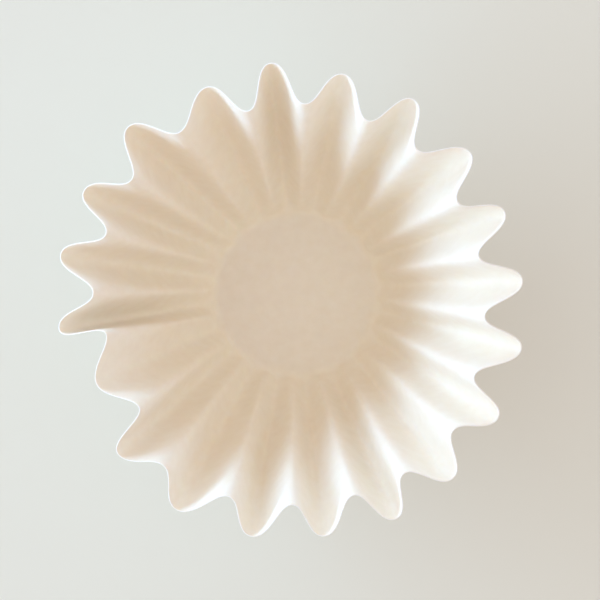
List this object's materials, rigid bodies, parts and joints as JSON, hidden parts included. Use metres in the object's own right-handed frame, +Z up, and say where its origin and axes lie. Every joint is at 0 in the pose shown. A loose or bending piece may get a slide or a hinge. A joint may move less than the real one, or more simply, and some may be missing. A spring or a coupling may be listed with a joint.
{
  "type": "paper coffee filter",
  "caption": "Fluted paper cup for brewed coffee: flat round base, flaring wall of radial flutes, scalloped open rim.",
  "frame": {"origin": "centre of the flat base, on its underside", "axes": "+Z up through the open rim; +X and +Y level, and the first outer ridge is 6 degrees from +X"},
  "size_m": [0.0978, 0.1004, 0.0546],
  "materials": {
    "filter_paper": "white bleached filter paper, matt, faintly creped, slightly see-through against light"
  },
  "bodies": {
    "root": {"paper_filter": "filter_paper"}
  },
  "joints": []
}
